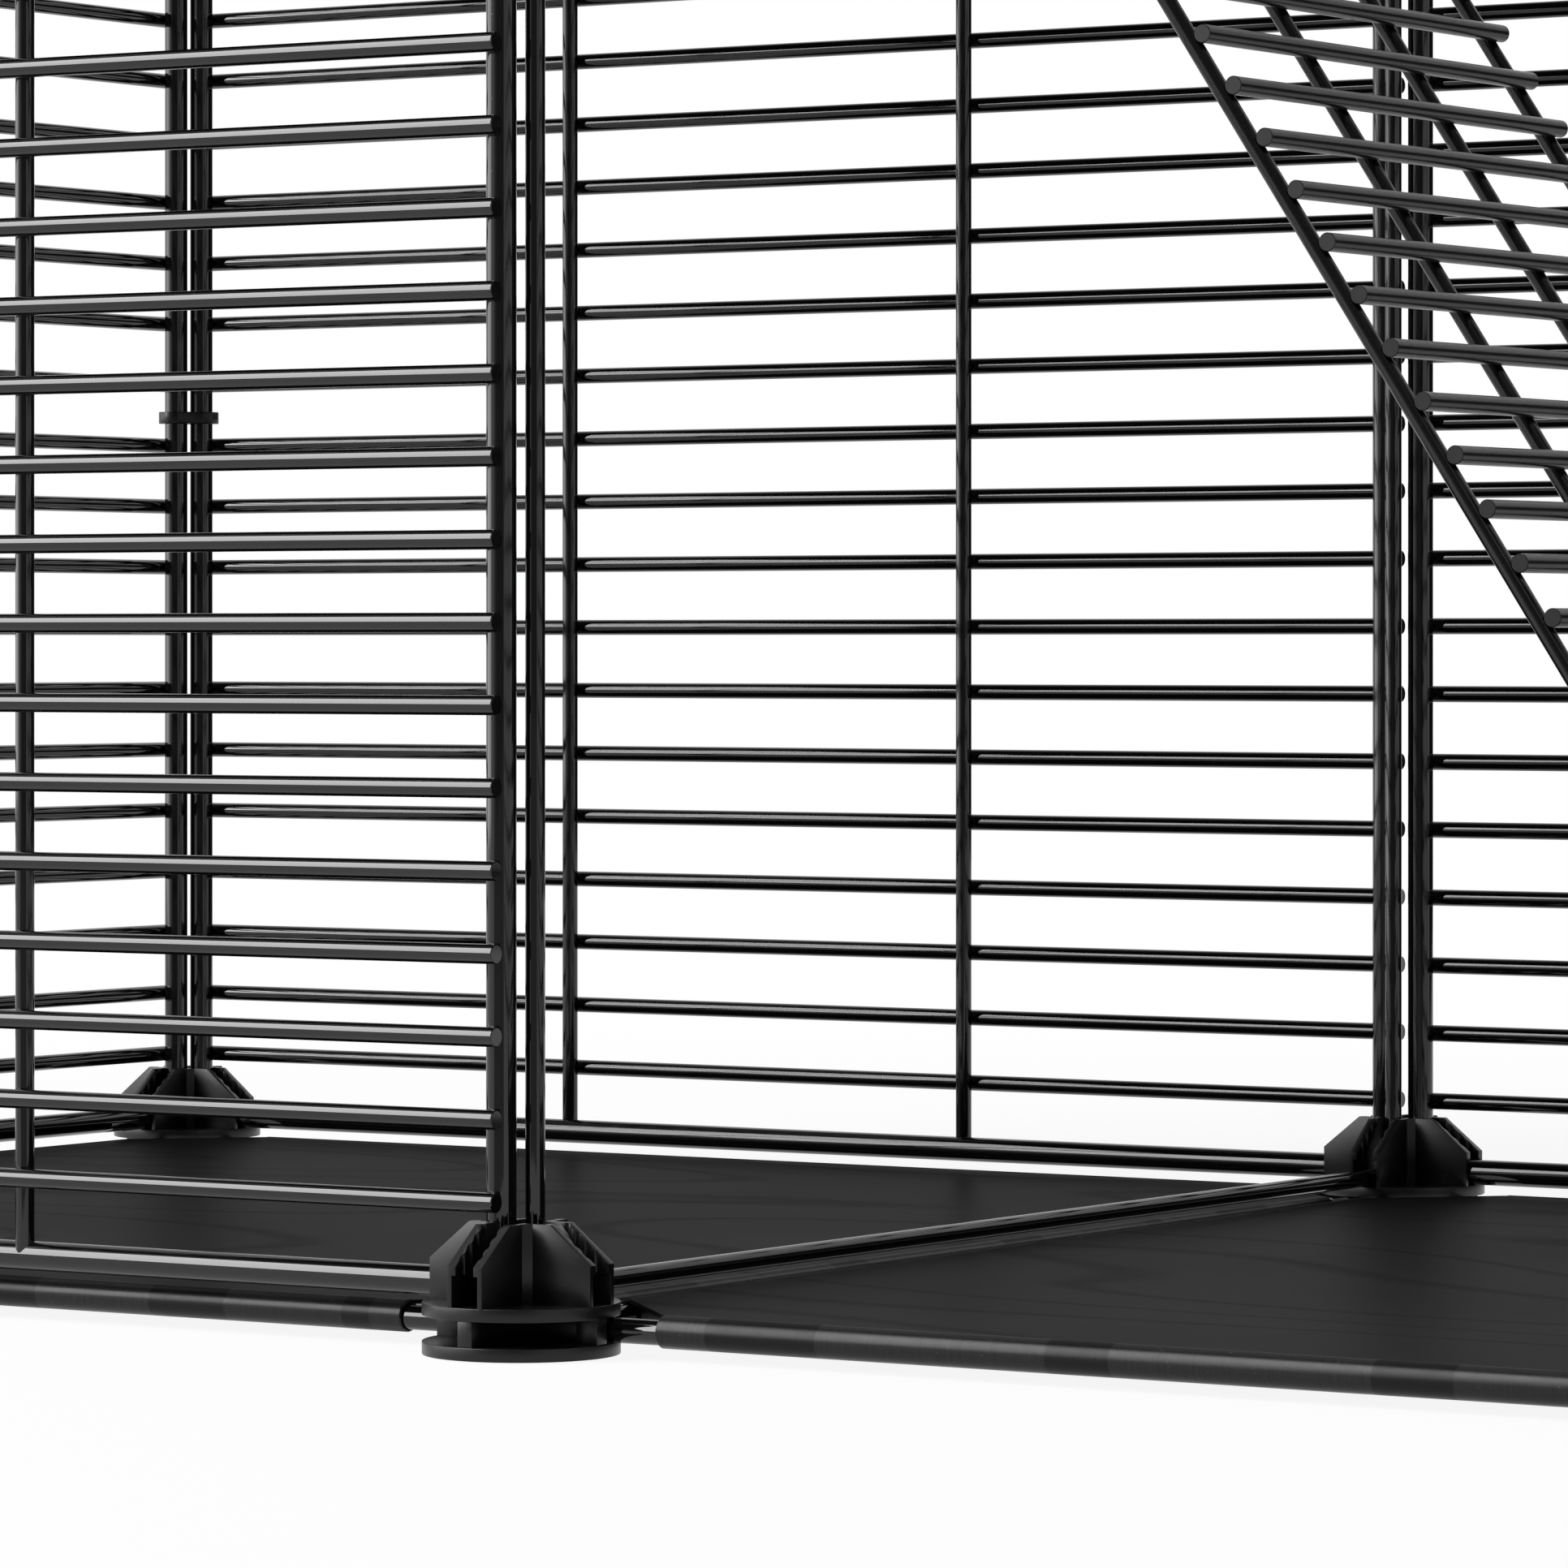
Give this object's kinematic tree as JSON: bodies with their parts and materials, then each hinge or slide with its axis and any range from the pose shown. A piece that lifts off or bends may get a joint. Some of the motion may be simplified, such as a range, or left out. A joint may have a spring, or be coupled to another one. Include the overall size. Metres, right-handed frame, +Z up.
{
  "type": "wire pet cage",
  "caption": "Two-storey cat cage of clipped wire mesh panels, with floor sheets, an open divider, a hooked ladder and bolted mesh doors.",
  "frame": {"origin": "centre of the underside of the front middle foot", "axes": "+X to the right along the front, +Y from the front to the back, +Z up"},
  "size_m": [0.8527, 0.6998, 0.7307],
  "materials": {
    "coated_wire": "glossy black coating",
    "moulded_plastic": "satin moulded black",
    "floor_sheet": "satin black with a faint wood figure",
    "ladder_wire": "matte dark grey coating"
  },
  "bodies": {
    "cage": {"front_left_foot_connector": "moulded_plastic", "front_middle_foot_connector": "moulded_plastic", "front_right_foot_connector": "moulded_plastic", "back_left_foot_connector": "moulded_plastic", "back_middle_foot_connector": "moulded_plastic", "back_right_foot_connector": "moulded_plastic", "front_left_middle_connector": "moulded_plastic", "front_middle_middle_connector": "moulded_plastic", "front_right_middle_connector": "moulded_plastic", "back_left_middle_connector": "moulded_plastic", "back_middle_middle_connector": "moulded_plastic", "back_right_middle_connector": "moulded_plastic", "front_left_top_connector": "moulded_plastic", "front_middle_top_connector": "moulded_plastic", "front_right_top_connector": "moulded_plastic", "back_left_top_connector": "moulded_plastic", "back_middle_top_connector": "moulded_plastic", "back_right_top_connector": "moulded_plastic", "lower_front_panel": "coated_wire", "lower_back_left_panel": "coated_wire", "lower_back_right_panel": "coated_wire", "lower_left_side_panel": "coated_wire", "lower_right_side_panel": "coated_wire", "upper_front_panel": "coated_wire", "upper_back_left_panel": "coated_wire", "upper_back_right_panel": "coated_wire", "upper_left_side_panel": "coated_wire", "upper_right_side_panel": "coated_wire", "left_roof_panel": "coated_wire", "right_roof_panel": "coated_wire", "lower_divider_frame": "coated_wire", "upper_divider_frame": "coated_wire", "left_floor_frame": "coated_wire", "right_floor_frame": "coated_wire", "platform_frame": "coated_wire", "left_floor_sheet": "floor_sheet", "right_floor_sheet": "floor_sheet", "platform_sheet": "floor_sheet", "ring_ties": "moulded_plastic"},
    "lower_door_leaf": {"lower_door": "coated_wire", "lower_door_hinge_links": "moulded_plastic", "lower_bolt_block": "moulded_plastic"},
    "lower_bolt_rod": {"lower_bolt": "coated_wire"},
    "upper_door_leaf": {"upper_door": "coated_wire", "upper_door_hinge_links": "moulded_plastic", "upper_bolt_block": "moulded_plastic"},
    "upper_bolt_rod": {"upper_bolt": "coated_wire"},
    "ladder_frame": {"ladder": "ladder_wire"}
  },
  "joints": [
    {"name": "lower_door_hinge", "type": "hinge", "parent": "cage", "child": "lower_door_leaf", "pos_m": [0.3534, 0.0046, 0.185], "axis": [0, 0, 1], "range_deg": [-110, 20]},
    {"name": "lower_bolt_slide", "type": "slide", "parent": "lower_door_leaf", "child": "lower_bolt_rod", "axis": [0.342, -0.9397, 0], "range_m": [0, 0.012]},
    {"name": "upper_door_hinge", "type": "hinge", "parent": "cage", "child": "upper_door_leaf", "pos_m": [0.3534, 0.0046, 0.545], "axis": [0, 0, 1], "range_deg": [0, 130]},
    {"name": "upper_bolt_slide", "type": "slide", "parent": "upper_door_leaf", "child": "upper_bolt_rod", "axis": [-1, 0, 0], "range_m": [0, 0.012]},
    {"name": "ladder_hook_hinge", "type": "hinge", "parent": "cage", "child": "ladder_frame", "pos_m": [0, 0.1754, 0.37185], "axis": [0, -1, 0], "range_deg": [0, 18]}
  ]
}
